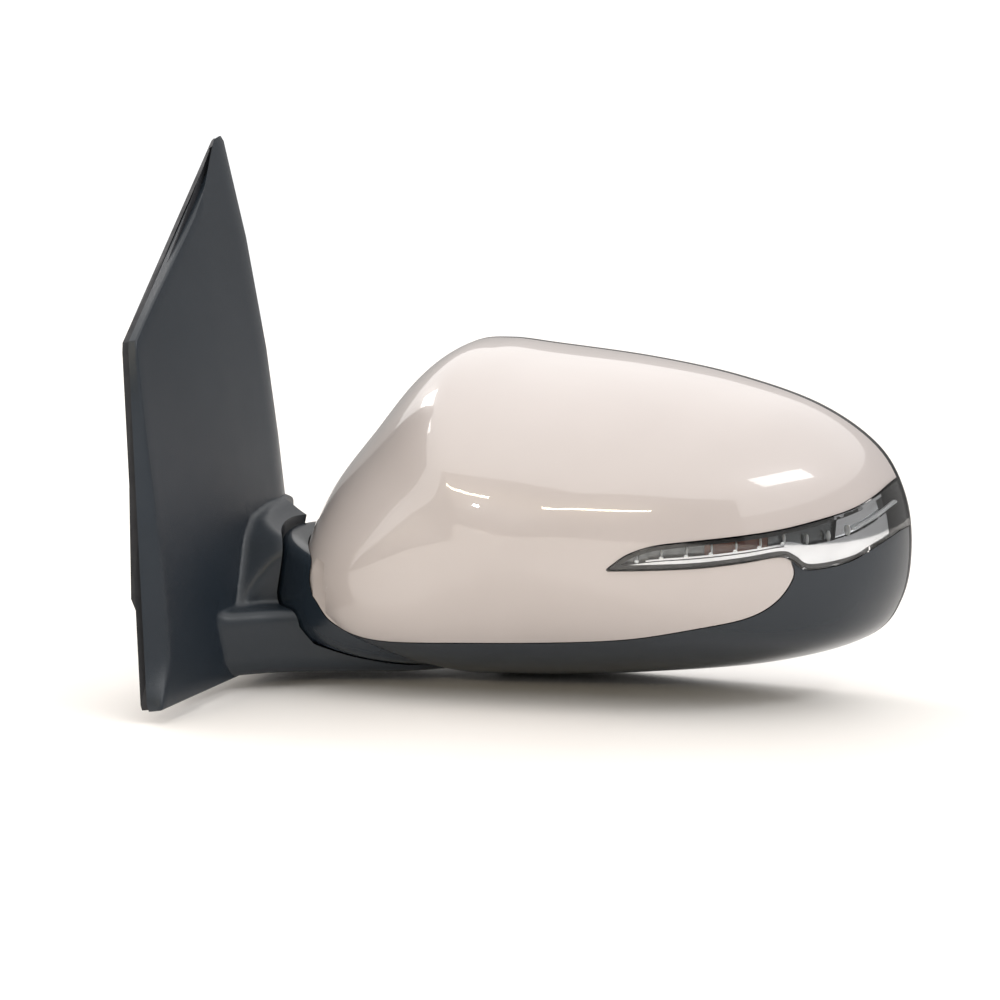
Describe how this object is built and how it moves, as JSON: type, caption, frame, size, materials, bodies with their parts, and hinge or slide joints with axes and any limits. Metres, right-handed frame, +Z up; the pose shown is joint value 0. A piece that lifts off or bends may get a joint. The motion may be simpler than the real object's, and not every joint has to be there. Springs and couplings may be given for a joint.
{
  "type": "car side mirror",
  "caption": "Folding car door mirror with a painted scalp, black lower cover, signal lamp, tilting glass and a triangular sail foot that bolts to the door",
  "frame": {"origin": "middle of the mounting plate's door face, the face that bolts to the door", "axes": "+X out from the door to the tip of the head, +Y to the rear of the car (the way the glass faces), +Z up"},
  "size_m": [0.3173, 0.176, 0.2379],
  "materials": {
    "paint": "pearl beige clear-coated paint",
    "grained_black": "fine-grained black moulding",
    "black_nylon": "plain black moulding",
    "rubber": "soft matt seal",
    "cast_alloy": "die-cast, bead-blasted",
    "steel": "zinc-plated or turned",
    "chrome": "bright",
    "lens_clear": "clear polished lens",
    "white_acetal": "natural acetal",
    "circuit_board": "green solder mask",
    "led_amber": "amber chip",
    "led_white": "white chip",
    "heater_foil": "printed heater film",
    "mirror": "first-surface silver, faint blue"
  },
  "bodies": {
    "base": {"base_cover": "grained_black", "base_frame": "cast_alloy", "pivot_tube": "steel", "sail_seal": "rubber", "mount_gasket": "rubber", "cable_grommet": "rubber", "thread_insert_1": "steel", "thread_insert_2": "steel", "thread_insert_3": "steel", "base_screw_1": "steel", "base_screw_2": "steel", "base_screw_3": "steel", "detent_ring": "steel", "fold_gear": "steel", "pivot_spring": "steel", "spring_seat": "steel", "retaining_clip": "steel"},
    "head": {"scalp": "paint", "lower_cover": "grained_black", "glass_bezel": "grained_black", "case_frame": "black_nylon", "frame_screw_1": "steel", "frame_screw_2": "steel", "frame_screw_3": "steel", "fold_housing": "black_nylon", "fold_lid": "black_nylon", "fold_motor": "steel", "fold_motor_worm": "steel", "detent_plate": "steel", "lamp_lens": "lens_clear", "lamp_housing": "black_nylon", "lamp_trim": "chrome", "lamp_reflector": "chrome", "lamp_board": "circuit_board", "led_1": "led_amber", "led_2": "led_amber", "led_3": "led_amber", "led_4": "led_amber", "led_5": "led_white", "led_6": "led_white", "actuator_back": "black_nylon", "actuator_front": "black_nylon", "actuator_screw_1": "steel", "actuator_screw_2": "steel", "actuator_screw_3": "steel", "drive_worm_up": "steel", "drive_worm_side": "steel", "tilt_motor_up": "steel", "tilt_motor_side": "steel"},
    "fold_worm": {"fold_worm": "white_acetal"},
    "gimbal": {"gimbal_ring": "white_acetal"},
    "glass": {"glass_holder": "black_nylon", "heater_pad": "heater_foil", "mirror_glass": "mirror"},
    "screw_up": {"jack_screw_up": "white_acetal"},
    "screw_side": {"jack_screw_side": "white_acetal"},
    "gear_up": {"drive_gear_up": "white_acetal"},
    "gear_side": {"drive_gear_side": "white_acetal"}
  },
  "joints": [
    {"name": "head_fold", "type": "hinge", "parent": "base", "child": "head", "pos_m": [0.0715, 0.048, -0.055], "axis": [0.2079, 0, 0.9781], "range_deg": [-38, 60]},
    {"name": "fold_worm_spin", "type": "hinge", "parent": "head", "child": "fold_worm", "pos_m": [0.09892, 0.048, -0.05009], "axis": [0, 1, 0], "range_deg": [-780, 1220]},
    {"name": "glass_tilt_v", "type": "hinge", "parent": "head", "child": "gimbal", "pos_m": [0.186, 0.072, -0.003], "axis": [1, 0, 0], "range_deg": [-7.5, 7.5]},
    {"name": "glass_tilt_h", "type": "hinge", "parent": "gimbal", "child": "glass", "pos_m": [0.186, 0.072, -0.003], "axis": [0, 0, 1], "range_deg": [-5.5, 5.5]},
    {"name": "up_down_screw", "type": "slide", "parent": "head", "child": "screw_up", "axis": [0, 1, 0], "range_m": [-0.0036, 0.0036]},
    {"name": "left_right_screw", "type": "slide", "parent": "head", "child": "screw_side", "axis": [0, 1, 0], "range_m": [-0.0027, 0.0027]},
    {"name": "up_down_gear", "type": "hinge", "parent": "head", "child": "gear_up", "pos_m": [0.186, 0.048, 0.023], "axis": [0, 1, 0], "range_deg": [-415, 415]},
    {"name": "left_right_gear", "type": "hinge", "parent": "head", "child": "gear_side", "pos_m": [0.212, 0.048, -0.003], "axis": [0, 1, 0], "range_deg": [-305, 305]}
  ],
  "couplings": [
    {"joint": "fold_worm_spin", "follows": "head_fold", "ratio": 20},
    {"joint": "up_down_screw", "follows": "glass_tilt_v", "m_per_rad": -0.026},
    {"joint": "left_right_screw", "follows": "glass_tilt_h", "m_per_rad": 0.026},
    {"joint": "up_down_gear", "follows": "glass_tilt_v", "ratio": -54.454},
    {"joint": "left_right_gear", "follows": "glass_tilt_h", "ratio": 54.454}
  ]
}
